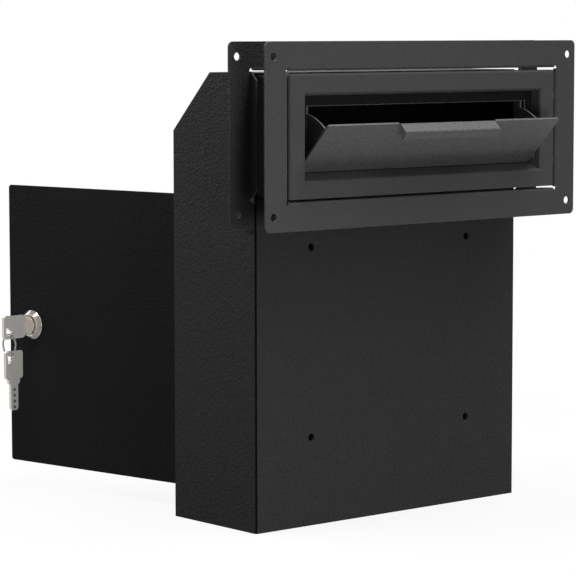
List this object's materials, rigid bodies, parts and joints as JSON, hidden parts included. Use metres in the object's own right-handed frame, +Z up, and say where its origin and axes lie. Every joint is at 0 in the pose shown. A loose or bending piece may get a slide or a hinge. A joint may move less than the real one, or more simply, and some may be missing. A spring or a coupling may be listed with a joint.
{
  "type": "key drop box",
  "caption": "Black steel key drop box for a door: hinged scoop in a flanged chute that slides into the box, a second flange to clamp the door, and a hinged rear door with cam lock.",
  "frame": {"origin": "centre of the box's base", "axes": "+X to the right seen from the street, +Y from the street into the room, +Z up"},
  "size_m": [0.3088, 0.3597, 0.3437],
  "materials": {
    "powder_coat": "black powder coat with a fine texture",
    "steel": "zinc plated steel, dull",
    "lock_metal": "nickel plated, polished",
    "key_metal": "nickel silver, satin"
  },
  "bodies": {
    "case": {"case_wrap": "powder_coat", "top_panel": "powder_coat", "bottom_panel": "powder_coat", "rear_frame": "powder_coat", "door_stop": "powder_coat", "rear_flange": "powder_coat", "cam_keeper": "powder_coat", "hinge_leaf_frame": "steel", "frame_rivets": "steel", "hinge_pin": "steel"},
    "chute": {"front_flange": "powder_coat", "chute_bezel": "powder_coat", "chute_sleeve": "powder_coat", "stop_frame": "powder_coat", "chute_floor": "powder_coat", "pivot_bushes": "steel"},
    "scoop": {"scoop_panel": "powder_coat", "scoop_cheek_left": "powder_coat", "scoop_cheek_right": "powder_coat", "pivot_rod": "steel", "rod_clips": "steel"},
    "door": {"door_panel": "powder_coat", "door_pan": "powder_coat", "hinge_leaf_door": "steel", "door_rivets": "steel", "lock_body": "lock_metal", "lock_washer": "lock_metal", "lock_nut": "lock_metal"},
    "lock_plug": {"lock_plug": "lock_metal", "lock_cam": "steel", "cam_screw": "steel", "key_in_lock": "key_metal"},
    "key_ring": {"key_ring": "key_metal"},
    "spare_key": {"spare_key": "key_metal"}
  },
  "joints": [
    {"name": "chute_slide", "type": "slide", "parent": "case", "child": "chute", "axis": [0, -1, 0], "range_m": [-0.0021, 0.02]},
    {"name": "scoop_hinge", "type": "hinge", "parent": "chute", "child": "scoop", "pos_m": [0, -0.0743, 0.2592], "axis": [-1, 0, 0], "range_deg": [0, 44.5]},
    {"name": "door_hinge", "type": "hinge", "parent": "case", "child": "door", "pos_m": [-0.10125, 0.0485, 0.12485], "axis": [0, 0, 1], "range_deg": [-99.5, 75]},
    {"name": "lock_turn", "type": "hinge", "parent": "door", "child": "lock_plug", "pos_m": [-0.1281, 0.22413, 0.12485], "axis": [0.9863, 0.165, 0], "range_deg": [0, 90]},
    {"name": "ring_swing", "type": "hinge", "parent": "lock_plug", "child": "key_ring", "pos_m": [-0.15217, 0.2201, 0.11945], "axis": [-0.0262, 0.9997, 0], "range_deg": [-10, 40]},
    {"name": "spare_swing", "type": "hinge", "parent": "key_ring", "child": "spare_key", "pos_m": [-0.15217, 0.2201, 0.10305], "axis": [-0.0262, 0.9997, 0], "range_deg": [-8, 30]}
  ]
}
